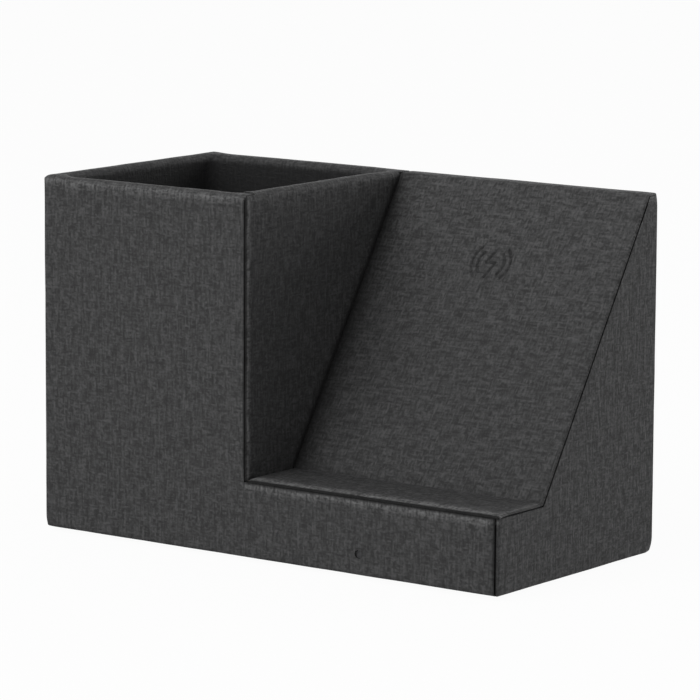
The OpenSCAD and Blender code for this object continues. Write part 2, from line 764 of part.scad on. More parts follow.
module led_lead() color(plastic_black) {
    start = [led_x, led_y + fit_gap + 5.2, led_z];
    end = [rest_mid - 4, inlet_y - inlet_l, z_floor + 2.4];
    tube([start, start + [0, 8, 0], end - [0, 12, 0], end], led_lead_d, [0, 0, 1], rings = 18);
}

front_board();
left_board();
back_board();
right_board();
divider_board();
base_board();
ledge_board();
rest_board();
outer_cover();
divider_cover();
rest_cover();
cup_lining();
cup_floor_pad();
base_cover();
coil_tray();
charging_coil();
ferrite_disc();
coil_plate();
plate_screws();
circuit_board();
circuit_posts();
circuit_screws();
control_chip();
power_inductor();
coil_socket();
power_socket();
coil_lead();
power_lead();
inlet_bezel();
usb_shell();
usb_tongue();
inlet_board();
inlet_carrier();
inlet_screws();
light_pipe();
indicator_led();
led_holder();
led_lead();
for (i = [0:len(FEET) - 1])
    foot(i);
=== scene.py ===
"""Charging station organizer: a pen cup beside a sloped phone rest, wrapped in linen-grained leather."""
import math

import bmesh
import bpy
from mathutils import Matrix, Vector, noise
from mathutils.bvhtree import BVHTree


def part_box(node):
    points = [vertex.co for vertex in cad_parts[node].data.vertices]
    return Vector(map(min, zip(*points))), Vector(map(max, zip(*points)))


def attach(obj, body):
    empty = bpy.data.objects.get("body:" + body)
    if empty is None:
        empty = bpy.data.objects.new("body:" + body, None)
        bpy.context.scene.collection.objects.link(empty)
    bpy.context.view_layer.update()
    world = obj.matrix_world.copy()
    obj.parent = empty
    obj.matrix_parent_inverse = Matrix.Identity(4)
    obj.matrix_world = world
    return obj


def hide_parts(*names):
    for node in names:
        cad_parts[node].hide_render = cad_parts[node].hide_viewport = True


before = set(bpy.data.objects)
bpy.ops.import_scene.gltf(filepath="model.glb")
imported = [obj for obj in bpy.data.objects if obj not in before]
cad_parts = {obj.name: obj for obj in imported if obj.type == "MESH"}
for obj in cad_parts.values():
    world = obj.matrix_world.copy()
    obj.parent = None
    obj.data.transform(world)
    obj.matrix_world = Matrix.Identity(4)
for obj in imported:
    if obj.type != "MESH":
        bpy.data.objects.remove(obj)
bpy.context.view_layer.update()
MM = 0.001

# The wrapped body
BODY_LOW, BODY_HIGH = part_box("outer_cover")
DIVIDER_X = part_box("divider_cover")[1].x
RIM_T = 5.0 * MM
LEDGE_Z = BODY_LOW.z + 25.6 * MM
FOOT_Y = BODY_LOW.y + 23.8 * MM
CREST_Y = BODY_HIGH.y - 5.6 * MM
REST_X = (DIVIDER_X + BODY_HIGH.x) / 2
SLOPE = Vector((0, CREST_Y - FOOT_Y, BODY_HIGH.z - LEDGE_Z))
SLOPE_LENGTH = SLOPE.length
UP_SLOPE = SLOPE.normalized()
X, Y, Z = Vector((1, 0, 0)), Vector((0, 1, 0)), Vector((0, 0, 1))
OFF_SLOPE = X.cross(UP_SLOPE)
SLOPE_FOOT = Vector((REST_X, FOOT_Y, LEDGE_Z))
PAD_LOW, PAD_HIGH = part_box("cup_floor_pad")
CUP_FLOOR_Z = PAD_LOW.z

# Where the covers meet in the front
CUP_SEAM_X = DIVIDER_X - 1.3 * MM
LEDGE_SEAM_Z = LEDGE_Z - 1.3 * MM
CORNER_SEAM_X = BODY_HIGH.x - 1.6 * MM
UNDER_LEDGE_Z = LEDGE_Z - 0.7 * MM
SEAM_MIDDLE = 1.0 * MM

# How near a face of the body a point counts as on it
SKIN = 0.65 * MM
OUTER_SKIN = 0.9 * MM
CREST_CAP = 2.2 * MM
LEVEL = 0.05 * MM
OUTERMOST = 0.02 * MM

# How the covers' meshes are cut and shaped
MERGE = 1e-6
ON_PLANE = 1e-7
FLAT_TURN = math.radians(0.8)
SHARP_TURN = math.radians(40)
CUT_EDGE_TURN = math.radians(55)
GRID = 2.4 * MM
LINING_GRID = 3 * MM
BASE_GRID = 4 * MM
LIP_R = 0.34 * MM
LIP_END = 0.3 * MM
SEAM_R = 0.5 * MM
RIM_LINES = (-1.4, -2.2, -3.0, -4.0, -5.0)
LINING_TONE_AND_SHADE_FROM = 3.4 * MM
RISE_H = 9 * MM
DRAWN_R = 3.5 * MM
UNEVEN = 0.07 * MM
LINING_UNEVEN = 0.09 * MM
BASE_UNEVEN = 0.04 * MM
WIDE_SWELL = 14 * MM
FINE_SWELL = 5 * MM
FINE_SHARE = 0.45
PAD_CROWN = 0.2 * MM
PAD_RIPPLE = 0.12 * MM
PAD_RIPPLE_W = 11 * MM

# How narrow seams and creases are found by looking round from a point, and how far the painted shade
# reaches
LOOK_TURNS = 8
LOOK_TILTS = (25, 50, 72)
LOOK_START = 0.03 * MM
LOOK_REACH = 1.3 * MM
LOOK_OPEN = 0.3
LOOK_HIDDEN = 0.65
SLOPE_SHADE_W = 9 * MM
BOTTOM_SHADE_H = 1.2 * MM

# The charging sign pressed into the slope
SIGN_CENTRE = (-1.15 * MM, 78.35 * MM)
SIGN_HALF = (10.4 * MM, 8.0 * MM)
SIGN_RINGS = (5.0 * MM, 7.25 * MM)
SIGN_RING_SPREAD = math.radians(45)
SIGN_BOLT = [(0.9, 5.2), (-1.8, 0.1), (1.6, 0.3), (-0.8, -4.9)]
SIGN_FLOOR = 0.3 * MM
SIGN_DEPTH = 0.38 * MM
SIGN_WALL = 0.3 * MM
SIGN_LAYER = 0.3 * MM
SIGN_GRID = 0.26 * MM

# The leather's printed grain: how wide and how high its long and crossing threads are on the cut
SLUB = (0.98 * MM, 6.5 * MM)
PICK = (3.6 * MM, 0.85 * MM)
THREAD_PITCH = 0.46 * MM
PEBBLE_SCALE = 1050.0
CLOUD_SCALE = 320.0
PATCH_SCALE = 620.0
GRAIN_DARK = (0.033, 0.033, 0.0333)
GRAIN_LIGHT = (0.085, 0.085, 0.086)


# Materials


def new_material(name, colour, roughness, fixed):
    """Material whose shader has its fixed values on its own sockets."""
    material = bpy.data.materials.new(name)
    material.use_nodes = True
    shader = material.node_tree.nodes["Principled BSDF"]
    shader.inputs["Base Color"].default_value = (*colour, 1)
    shader.inputs["Roughness"].default_value = roughness
    for socket, value in fixed.items():
        shader.inputs[socket].default_value = value
    return material


class Weave:
    """Short way to add and join shader nodes in one material."""

    def __init__(self, material):
        self.tree = material.node_tree
        self.shader = self.tree.nodes["Principled BSDF"]

    def node(self, kind, inputs=None, **settings):
        made = self.tree.nodes.new("ShaderNode" + kind)
        for name, value in settings.items():
            setattr(made, name, value)
        for name, value in (inputs or {}).items():
            self.feed(made.inputs[name], value)
        return made

    def feed(self, socket, value):
        if isinstance(value, bpy.types.NodeSocket):
            self.tree.links.new(value, socket)
        else:
            socket.default_value = value

    def math(self, operation, *values, clamp=False):
        made = self.node("Math", operation=operation, use_clamp=clamp)
        for socket, value in zip(made.inputs, values):
            self.feed(socket, value)
        return made.outputs[0]

    def noise(self, vector, scale, detail=2.0, roughness=0.5, dimensions="3D"):
        made = self.node(
            "TexNoise",
            {"Vector": vector, "Scale": scale, "Detail": detail, "Roughness": roughness},
            noise_dimensions=dimensions,
        )
        return made.outputs["Fac"]

    def spread(self, value, low, high, new_low=0.0, new_high=1.0):
        made = self.node(
            "MapRange",
            {"Value": value, "From Min": low, "From Max": high, "To Min": new_low, "To Max": new_high},
        )
        return made.outputs[0]

    def tint(self, factor, under, over):
        """Mixes a colour over another, which may come from a socket."""
        made = self.node("Mix", data_type="RGBA", clamp_factor=True)
        self.feed(made.inputs[0], factor)
        self.feed(made.inputs[6], under if isinstance(under, bpy.types.NodeSocket) else (*under, 1))
        self.feed(made.inputs[7], (*over, 1))
        return made.outputs[2]

    def colour(self, value):
        self.tree.links.new(value, self.shader.inputs["Base Color"])

    def roughness(self, value):
        self.tree.links.new(value, self.shader.inputs["Roughness"])

    def bump(self, height, distance, strength=1.0):
        made = self.node(
            "Bump", {"Height": height, "Distance": distance, "Strength": strength}
        )
        self.tree.links.new(made.outputs[0], self.shader.inputs["Normal"])


def linen_leather():
    """Coated leather with a printed linen grain: long slubs, short crossing threads and a fine pebble."""
    material = new_material("linen_leather", (0.05, 0.05, 0.05), 0.62, {"Specular IOR Level": 0.14})
    w = Weave(material)
    flat = w.node("UVMap", uv_map="cut").outputs[0]
    place = w.node("SeparateXYZ", {"Vector": flat})

    def threads(wide, high):
        run = w.node("CombineXYZ", {
            "X": w.math("DIVIDE", place.outputs["X"], wide),
            "Y": w.math("DIVIDE", place.outputs["Y"], high)})
        return w.spread(w.noise(run.outputs[0], 1.0, 1.0, 0.55, "2D"), 0.3, 0.7)

    def ribs(axis):
        turns = w.math("MULTIPLY", place.outputs[axis], math.pi / THREAD_PITCH)
        return w.math("ABSOLUTE", w.math("SINE", turns))

    def painted(grain, mark, strength, colour):
        share = w.node("Attribute", attribute_name=mark).outputs["Fac"]
        return w.tint(w.math("MULTIPLY", share, strength), grain, colour)

    slubs = threads(*SLUB)
    picks = threads(*PICK)
    pebble = w.spread(w.noise(flat, PEBBLE_SCALE, 1.0, 0.5, "2D"), 0.3, 0.7)
    cloud = w.spread(w.noise(flat, CLOUD_SCALE, 2.0, 0.5, "2D"), 0.3, 0.7)
    # Patches where the long threads lie on top take turns with patches of crossing threads
    patch = w.spread(w.noise(flat, PATCH_SCALE, 1.0, 0.5, "2D"), 0.40, 0.64)
    crossed = w.math("MULTIPLY", patch, w.math("SUBTRACT", picks, slubs))
    light = w.math("MULTIPLY", w.math("ADD", slubs, crossed), 0.5)
    for part, share in ((pebble, 0.25), (cloud, 0.2)):
        light = w.math("ADD", light, w.math("MULTIPLY", part, share))
    thread = w.math("MAXIMUM", w.math("MULTIPLY", ribs("X"), slubs), w.math("MULTIPLY", ribs("Y"), picks))
    shade = w.math("POWER", w.spread(light, 0.08, 0.87), 1.45)
    shade = w.math("MULTIPLY", shade, w.spread(thread, 0.0, 0.8, 0.92, 1.07))
    grain = w.tint(shade, GRAIN_DARK, GRAIN_LIGHT)
    # Where the leather is stretched round a folded edge its grain opens and looks paler; the paleness is
    # also a painted highlight along the edges, and painted light up the slope
    grain = painted(grain, "fold", w.spread(light, 0.22, 0.78, 0.12, 1.0), (0.25, 0.25, 0.251))
    # The turned-in edge inside the cup is darkened to the lining's tone and with painted shade of the dim
    # cup. The seams' joints are dark, painted shade darkens narrow seams, creases, the divider's corner,
    # the ledge's back and the bottom edge, and the stamped sign is darkened by the die and by painted
    # shade
    grain = painted(grain, "lining_tone_and_shade", 0.85, (0.019, 0.019, 0.0195))
    grain = painted(grain, "joint_dark_and_painted_shade", 0.95, (0.004, 0.004, 0.004))
    grain = painted(grain, "pressed", 0.55, (0.008, 0.008, 0.008))
    w.colour(grain)
    w.roughness(w.spread(light, 0.2, 0.8, 0.7, 0.52))
    relief = w.math("ADD", w.math("MULTIPLY", thread, 0.5), light)
    w.bump(relief, 0.1 * MM, 0.9)
    return material


def smooth_lining():
    """Thin dark lining with a fine pebble."""
    material = new_material("smooth_lining", (0.03, 0.03, 0.031), 0.6, {"Specular IOR Level": 0.35})
    w = Weave(material)
    here = w.node("TexCoord").outputs["Object"]
    cells = w.node("TexVoronoi", {"Vector": here, "Scale": 1900.0}, feature="SMOOTH_F1")
    pebble = cells.outputs["Distance"]
    cloud = w.noise(here, 60.0, 4.0, 0.6)
    w.colour(w.tint(w.spread(cloud, 0.3, 0.7), (0.022, 0.022, 0.023), (0.037, 0.037, 0.038)))
    w.roughness(w.spread(cloud, 0.3, 0.7, 0.52, 0.68))
    w.bump(pebble, 0.05 * MM, 0.6)
    return material


def felt(name, dark, light):
    """Pressed felt: short tangled fibres."""
    material = new_material(
        name, light, 0.95, {"Specular IOR Level": 0.15, "Sheen Weight": 0.25, "Sheen Roughness": 0.6})
    w = Weave(material)
    here = w.node("TexCoord").outputs["Object"]
    drift = w.node("TexNoise", {"Vector": here, "Scale": 700.0, "Detail": 2.0}).outputs["Color"]
    pull = w.node("VectorMath", operation="SCALE")
    w.feed(pull.inputs[0], drift)
    pull.inputs["Scale"].default_value = 2.4 * MM
    bent = w.node("VectorMath", operation="ADD")
    w.feed(bent.inputs[0], here)
    w.feed(bent.inputs[1], pull.outputs[0])
    fibre = w.noise(bent.outputs[0], 2400.0, 3.0, 0.7)
    cloud = w.noise(here, 120.0, 3.0)
    mix = w.math("ADD", w.math("MULTIPLY", fibre, 0.7), w.math("MULTIPLY", cloud, 0.3))
    w.colour(w.tint(w.spread(mix, 0.35, 0.65), dark, light))
    w.bump(fibre, 0.12 * MM, 0.8)
    return material


def fibreboard():
    """Pressed fibreboard: fine chips in warm browns."""
    material = new_material("fibreboard", (0.40, 0.26, 0.13), 0.85, {"Specular IOR Level": 0.25})
    w = Weave(material)
    here = w.node("TexCoord").outputs["Object"]
    chip = w.noise(here, 900.0, 4.0, 0.7)
    cloud = w.noise(here, 90.0, 3.0)
    mix = w.math("ADD", w.math("MULTIPLY", chip, 0.65), w.math("MULTIPLY", cloud, 0.35))
    w.colour(w.tint(w.spread(mix, 0.36, 0.64), (0.26, 0.155, 0.07), (0.50, 0.34, 0.18)))
    w.roughness(w.spread(chip, 0.3, 0.7, 0.78, 0.92))
    w.bump(chip, 0.08 * MM, 0.6)
    return material


def moulded(name, colour, roughness, speck=900.0, depth=0.02):
    """Moulded plastic with a fine spark-eroded texture."""
    material = new_material(name, colour, roughness, {"Specular IOR Level": 0.5})
    w = Weave(material)
    here = w.node("TexCoord").outputs["Object"]
    grain = w.noise(here, speck, 3.0, 0.6)
    cloud = w.noise(here, 80.0, 2.0)
    dark = [0.82 * c for c in colour]
    light = [min(1.0, 1.14 * c) for c in colour]
    w.colour(w.tint(w.spread(cloud, 0.3, 0.7), dark, light))
    w.roughness(w.spread(grain, 0.3, 0.7, roughness - 0.06, roughness + 0.08))
    w.bump(grain, depth * MM, 0.5)
    return material


def frosted_plastic():
    """Smoky frosted rod, which looks as dark as the leather while its lamp is off."""
    material = new_material(
        "frosted_plastic", (0.05, 0.05, 0.052), 0.5,
        {"Transmission Weight": 0.15, "IOR": 1.49, "Specular IOR Level": 0.2})
    w = Weave(material)
    here = w.node("TexCoord").outputs["Object"]
    haze = w.noise(here, 900.0, 3.0)
    w.colour(w.tint(w.spread(haze, 0.3, 0.7), (0.04, 0.04, 0.042), (0.065, 0.065, 0.068)))
    w.roughness(w.spread(haze, 0.3, 0.7, 0.42, 0.58))
    w.bump(haze, 0.01 * MM, 0.3)
    return material


def metal(name, dark, light, roughness, lay=(1.0, 30.0, 30.0)):
    """Metal with fine marks that run one way."""
    material = new_material(name, light, roughness, {"Metallic": 1.0})
    w = Weave(material)
    here = w.node("TexCoord").outputs["Object"]
    turned = w.node("Mapping", {"Vector": here, "Scale": lay})
    mark = w.noise(turned.outputs[0], 160.0, 4.0, 0.6)
    w.colour(w.tint(w.spread(mark, 0.3, 0.7), dark, light))
    w.roughness(w.spread(mark, 0.3, 0.7, roughness - 0.08, roughness + 0.1))
    w.bump(mark, 0.006 * MM, 0.4)
    return material


def laminate():
    """Circuit laminate: solder mask over a faint glass weave."""
    material = new_material(
        "laminate", (0.012, 0.10, 0.045), 0.3, {"Specular IOR Level": 0.5, "Coat Weight": 0.3})
    w = Weave(material)
    here = w.node("TexCoord").outputs["Object"]
    parts = w.node("SeparateXYZ", {"Vector": here})
    strands = math.pi / (0.4 * MM)
    run = w.math("SINE", w.math("MULTIPLY", parts.outputs["X"], strands))
    cross = w.math("SINE", w.math("MULTIPLY", parts.outputs["Y"], strands))
    glass = w.spread(w.math("MULTIPLY", run, cross), -1.0, 1.0)
    cloud = w.noise(here, 250.0, 3.0)
    mix = w.math("ADD", w.math("MULTIPLY", glass, 0.35), w.math("MULTIPLY", cloud, 0.65))
    w.colour(w.tint(w.spread(mix, 0.3, 0.7), (0.008, 0.075, 0.032), (0.016, 0.125, 0.058)))
    w.roughness(w.spread(cloud, 0.3, 0.7, 0.24, 0.36))
    w.bump(glass, 0.01 * MM, 0.3)
    return material


def rubber():
    """Soft moulded rubber with a dusty bloom."""
    material = new_material("rubber", (0.03, 0.03, 0.03), 0.8, {"Specular IOR Level": 0.3})
    w = Weave(material)
    here = w.node("TexCoord").outputs["Object"]
    bloom = w.noise(here, 300.0, 4.0, 0.6)
    w.colour(w.tint(w.spread(bloom, 0.3, 0.75), (0.022, 0.022, 0.0215), (0.048, 0.048, 0.047)))
    w.roughness(w.spread(bloom, 0.3, 0.7, 0.7, 0.92))
    w.bump(w.noise(here, 1500.0, 2.0), 0.03 * MM, 0.5)
    return material


LEATHER = linen_leather()
LINING = smooth_lining()
BASE_FELT = felt("base_felt", (0.012, 0.012, 0.013), (0.030, 0.030, 0.031))
PAD_FELT = felt("pad_felt", (0.016, 0.016, 0.017), (0.040, 0.040, 0.041))
BOARD = fibreboard()
BLACK_PLASTIC = moulded("black_plastic", (0.016, 0.016, 0.017), 0.48)
CHIP_BLACK = moulded("chip_black", (0.02, 0.02, 0.021), 0.4, 1500.0, 0.01)
WHITE_PLASTIC = moulded("white_plastic", (0.66, 0.65, 0.60), 0.42)
FROSTED = frosted_plastic()
COPPER = metal("copper_wire", (0.40, 0.13, 0.04), (0.62, 0.25, 0.09), 0.28)
FERRITE = moulded("ferrite", (0.035, 0.035, 0.038), 0.55, 1200.0, 0.03)
STEEL = metal("plated_steel", (0.42, 0.43, 0.45), (0.62, 0.63, 0.65), 0.3)
LAMINATE = laminate()
RUBBER = rubber()


def dress(material, *nodes):
    """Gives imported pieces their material."""
    for name in nodes:
        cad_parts[name].material_slots[0].material = material


dress(BOARD, "front_board", "left_board", "back_board", "right_board", "divider_board",
      "base_board", "ledge_board", "rest_board")
dress(BLACK_PLASTIC, "coil_tray", "power_lead", "inlet_bezel", "usb_tongue", "led_holder", "led_lead")
dress(CHIP_BLACK, "control_chip")
dress(WHITE_PLASTIC, "coil_plate", "circuit_posts", "coil_socket", "power_socket", "inlet_carrier")
dress(FROSTED, "light_pipe", "indicator_led")
dress(COPPER, "charging_coil", "coil_lead")
dress(FERRITE, "ferrite_disc", "power_inductor")
dress(STEEL, "plate_screws", "circuit_screws", "usb_shell", "inlet_screws")
dress(LAMINATE, "circuit_board", "inlet_board")
dress(RUBBER, "foot_1", "foot_2", "foot_3", "foot_4")


# Covers


def pattern_of(node):
    """The cut pattern of a packed cover: its mesh, merged and with its flat faces whole again."""
    form = bmesh.new()
    form.from_mesh(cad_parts[node].data)
    bmesh.ops.remove_doubles(form, verts=form.verts, dist=MERGE)
    bmesh.ops.dissolve_limit(
        form, angle_limit=FLAT_TURN, verts=form.verts, edges=form.edges, delimit=set())
    return form


def crease(edge):
    """How far a convex edge turns, or 0 where it is open or hollow."""
    if len(edge.link_faces) != 2 or not edge.is_convex:
        return 0.0
    return edge.calc_face_angle(0.0)


def soften(form, shows, width, segments=4):
    """Rounds the cut edges of a cover where a face that shows ends."""
    form.normal_update()
    rims = [
        e for e in form.edges
        if crease(e) > CUT_EDGE_TURN and any(shows(f) for f in e.link_faces)
        and e.calc_length() > 2 * width
    ]
    bmesh.ops.bevel(
        form, geom=rims, offset=width, offset_type="OFFSET", segments=segments, profile=0.5,
        affect="EDGES", clamp_overlap=True, material=-1)


def cut(form, normal, at, faces=None):
    """Cuts a cover, or those of its faces that are asked for, by one plane."""
    if faces is None:
        geometry = form.verts[:] + form.edges[:] + form.faces[:]
    else:
        chosen = [f for f in form.faces if faces(f)]
        geometry = list({v for f in chosen for v in f.verts}
                        | {e for f in chosen for e in f.edges}) + chosen
    bmesh.ops.bisect_plane(form, geom=geometry, dist=ON_PLANE, plane_co=normal * at, plane_no=normal)


def lay_grid(form, normal, low, high, step, faces=None):
    """Cuts a cover by evenly spaced planes, so that it can be shaped between its edges."""
    count = max(1, round((high - low) / step))
    for i in range(1, count):
        cut(form, normal, low + (high - low) * i / count, faces)


def lay_lines(form, normal, start, steps):
    """Cuts a cover beside an edge, so that the edge can be rolled. The steps are in millimetres."""
    for step in steps:
        cut(form, normal, start + step * MM)


def lay_flat(form, place):
    """Gives each corner its place on the leather before it was wrapped."""
    layer = form.loops.layers.uv.new("cut")
    for face in form.faces:
        middle = face.calc_center_median()
        for loop in face.loops:
            loop[layer].uv = place(loop.vert.co, middle, face.normal)


def settle(form, depth, seed):
    """Lets a sheet lie a little unevenly, as it does where it is glued down by hand."""
    form.normal_update()
    moves = []
    for vert in form.verts:
        near = vert.co + seed
        swell = noise.noise(near / WIDE_SWELL) + FINE_SHARE * noise.noise(near / FINE_SWELL)
        moves.append(vert.normal * swell * depth)
    for vert, move in zip(form.verts, moves):
        vert.co += move


def roll_edges(form, rolls):
    """Rolls the leather over towards its edges. Each roll gives the distance from its edge, how wide it
    is, how far and which way the leather sinks, where it looks palest and how pale. The paleness is the
    opened grain of stretched leather together with a painted highlight; a roll that does not sink only
    paints the paleness."""
    fold = form.verts.layers.float.new("fold")
    for vert in form.verts:
        for reach_from, width, sink, way, palest, pale in rolls:
            reach = reach_from(vert.co)
            if reach is None or reach > width:
                continue
            reach = max(0.0, reach)
            share = 1 - reach / width
            side = palest if reach < palest else width - palest
            paleness = pale * (1 - abs(reach - palest) / side) if side else pale
            vert[fold] = max(vert[fold], paleness)
            vert.co += way * sink * share * share


def fade(reach, full, none):
    """1 up to the first distance, falling to 0 at the second."""
    return max(0.0, min(1.0, (none - reach) / (none - full)))


def front_seam_shade(p):
    """How dark the leather is in and beside the three seams of the front: the dark glued joints, with
    painted shade in the grooves and beside the corner seam.
    """
    if p.y >= BODY_LOW.y + SKIN:
        return 0.0
    shade = 0.0
    if p.z > LEDGE_SEAM_Z and p.x < DIVIDER_X:
        shade = fade(abs(p.x - DIVIDER_X + SEAM_MIDDLE), 0.45 * MM, 0.85 * MM)
    elif p.x > CUP_SEAM_X and p.z > LEDGE_Z - 3 * MM:
        shade = fade(abs(p.z - LEDGE_Z + SEAM_MIDDLE), 0.42 * MM, 0.78 * MM)
    if p.z < UNDER_LEDGE_Z and p.x > CORNER_SEAM_X - 2 * MM:
        beside = p.x - CORNER_SEAM_X - 0.3 * MM
        if beside < 0:
            shade = max(shade, fade(-beside, 0.3 * MM, 1.9 * MM) ** 2)
        else:
            shade = max(shade, fade(beside, 0.45 * MM, 0.9 * MM))
    return shade


def painted_contact_shade(p):
    """Painted shade: how dark the leather is painted beside the corner between divider and slope, at the
    ledge's back and along the bottom edge, where shade falls."""
    shade = 0.0
    off = (p - SLOPE_FOOT).dot(OFF_SLOPE)
    on_slope = abs(off) < 0.8 * MM and p.y > FOOT_Y
    if on_slope and DIVIDER_X - 0.05 * MM < p.x < DIVIDER_X + SLOPE_SHADE_W:
        shade = 0.8 * fade(p.x - DIVIDER_X, 0.0, SLOPE_SHADE_W)
    on_divider = abs(p.x - DIVIDER_X) < 0.6 * MM and BODY_LOW.y + 1.5 * MM < p.y < CREST_Y
    if on_divider and off > -0.8 * MM:
        shade = max(shade, 0.4 * fade(off, 0.4 * MM, 3.4 * MM))
    if p.z < BODY_LOW.z + BOTTOM_SHADE_H:
        shade = max(shade, 0.5 * fade(p.z - BODY_LOW.z, 0.0, BOTTOM_SHADE_H))
    if abs(p.z - LEDGE_Z) < 0.6 * MM and p.y < FOOT_Y + 0.5 * MM:
        shade = max(shade, 0.16 * fade(FOOT_Y - p.y, 3 * MM, 15 * MM))
    return shade


def looks_round():
    """The ways to look from a point whose face turns to Z."""
    looks = []
    for turn in range(LOOK_TURNS):
        for tilt in LOOK_TILTS:
            heading, lean = math.radians(360 / LOOK_TURNS * turn + tilt), math.radians(tilt)
            aside = math.sin(lean)
            looks.append(Vector((math.cos(heading) * aside, math.sin(heading) * aside, math.cos(lean))))
    return looks


def mark_joints_and_painted_shade(pieces):
    """Marks how dark each point of the covers is painted: painted shade in a narrow seam or crease, found
    by looking round from it, the front seams' dark joints, and painted shade beside the divider, at the
    ledge's back and along the bottom edge."""
    deps = bpy.context.evaluated_depsgraph_get()
    walls = [BVHTree.FromObject(piece, deps) for piece in pieces]
    looks = looks_round()
    for piece in pieces:
        mesh = piece.data
        joint_dark_and_painted_shade = mesh.attributes.new("joint_dark_and_painted_shade", "FLOAT", "POINT")
        for vert in mesh.vertices:
            face_on = vert.normal.to_track_quat("Z", "Y")
            start = vert.co + vert.normal * LOOK_START
            met = 0
            for look in looks:
                way = face_on @ look
                if any(wall.ray_cast(start, way, LOOK_REACH)[0] for wall in walls):
                    met += 1
            hidden = 1 - fade(met / len(looks), LOOK_OPEN, LOOK_HIDDEN)
            joint_dark_and_painted_shade.data[vert.index].value = max(hidden, front_seam_shade(vert.co), painted_contact_shade(vert.co))


def finish_cover(form, name, node, material):
    """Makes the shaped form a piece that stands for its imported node."""
    for face in form.faces:
        face.smooth = True
    for edge in form.edges:
        edge.smooth = len(edge.link_faces) == 2 and edge.calc_face_angle(0.0) < SHARP_TURN
    mesh = bpy.data.meshes.new(name)
    form.to_mesh(mesh)
    form.free()
    mesh.materials.append(material)
    piece = bpy.data.objects.new(name, mesh)
    bpy.context.scene.collection.objects.link(piece)
    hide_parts(node)
    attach(piece, "root")
    return piece


def over_the_rim(p, inward):
    """Length up a wall's outer face, over its rim and down into the cup."""
    if inward < RIM_T / 2:
        return p.z + inward
    return 2 * BODY_HIGH.z - p.z + inward


def belt_place(p, middle, normal):
    """The belt runs from the front round the left side and the back to the right side."""
    far = {
        "front": middle.y - BODY_LOW.y,
        "left": middle.x - BODY_LOW.x,
        "back": BODY_HIGH.y - middle.y,
        "right": BODY_HIGH.x - middle.x,
    }
    side = min(far, key=far.get)
    width, depth = BODY_HIGH.x - BODY_LOW.x, BODY_HIGH.y - BODY_LOW.y
    if side == "front":
        return p.x - BODY_LOW.x, over_the_rim(p, p.y - BODY_LOW.y)
    if side == "left":
        return BODY_LOW.y - p.y, over_the_rim(p, p.x - BODY_LOW.x)
    if side == "back":
        return BODY_LOW.x - p.x - depth, over_the_rim(p, BODY_HIGH.y - p.y)
    return p.y - BODY_HIGH.y - depth - width, over_the_rim(p, BODY_HIGH.x - p.x)


def divider_place(p, middle, normal):
    """The divider's leather runs back from the front edge and over the rim."""
    return p.y, over_the_rim(p, DIVIDER_X - p.x)


def rest_place(p, middle, normal):
    """Ledge, slope and crest are one length of leather."""
    facing = normal.dot(OFF_SLOPE)
    if facing > 0.9 or facing < -0.95:
        return (p - SLOPE_FOOT).dot(UP_SLOPE), p.x
    if middle.z > BODY_HIGH.z - CREST_CAP:
        return SLOPE_LENGTH + p.y - CREST_Y + BODY_HIGH.z - p.z, p.x
    return p.y - FOOT_Y - (LEDGE_Z - p.z), p.x


def belt_shows(face):
    c = face.calc_center_median()
    gaps = (c.y - BODY_LOW.y, c.x - BODY_LOW.x, BODY_HIGH.y - c.y, BODY_HIGH.x - c.x)
    return min(gaps) < OUTERMOST


def divider_shows(face):
    return face.calc_center_median().x > DIVIDER_X - OUTERMOST


def rest_shows(face):
    c = face.calc_center_median()
    if face.normal.dot(OFF_SLOPE) > 0.99:
        return abs((c - SLOPE_FOOT).dot(OFF_SLOPE)) < LEVEL
    return face.normal.z > 0.99 and (abs(c.z - LEDGE_Z) < LEVEL or c.z > BODY_HIGH.z - LEVEL)


# How far a point is from each rolled edge, or None where that roll doesn't apply


def beside_cup_seam(p):
    if p.y < BODY_LOW.y + SKIN and p.x < CUP_SEAM_X + SKIN and p.z > LEDGE_SEAM_Z:
        return CUP_SEAM_X - p.x
    return None


def under_ledge_seam(p):
    if p.y < BODY_LOW.y + SKIN and p.x > CUP_SEAM_X and p.z < UNDER_LEDGE_Z:
        return LEDGE_SEAM_Z - p.z
    return None


def beside_corner_seam(p):
    if p.y < BODY_LOW.y + SKIN and p.x < CORNER_SEAM_X + SKIN and p.z < LEDGE_SEAM_Z:
        return CORNER_SEAM_X - p.x
    return None


def on_outside(p):
    near = min(p.x - BODY_LOW.x, BODY_HIGH.x - p.x, p.y - BODY_LOW.y, BODY_HIGH.y - p.y)
    return near < OUTER_SKIN


def under_rim(p):
    return BODY_HIGH.z - p.z if on_outside(p) else None


def under_divider_rim(p):
    return BODY_HIGH.z - p.z if p.x > DIVIDER_X - OUTER_SKIN else None


def behind_divider_edge(p):
    return p.y - BODY_LOW.y - LIP_END if p.x > DIVIDER_X - OUTER_SKIN else None


def on_ledge(p):
    return p.z < LEDGE_Z + LEVEL and p.y < FOOT_Y


def behind_ledge_edge(p):
    return p.y - BODY_LOW.y - LIP_END if on_ledge(p) else None


def beside_ledge_end(p):
    return BODY_HIGH.x - p.x - LIP_END if on_ledge(p) else None


def beside_divider(p):
    return p.x - DIVIDER_X


def below_crest(p):
    """Painted light: the slope is painted a little paler up towards the crest, where it is lit more
    brightly.
    """
    return SLOPE_LENGTH - (p - SLOPE_FOOT).dot(UP_SLOPE) if p.y > FOOT_Y else None


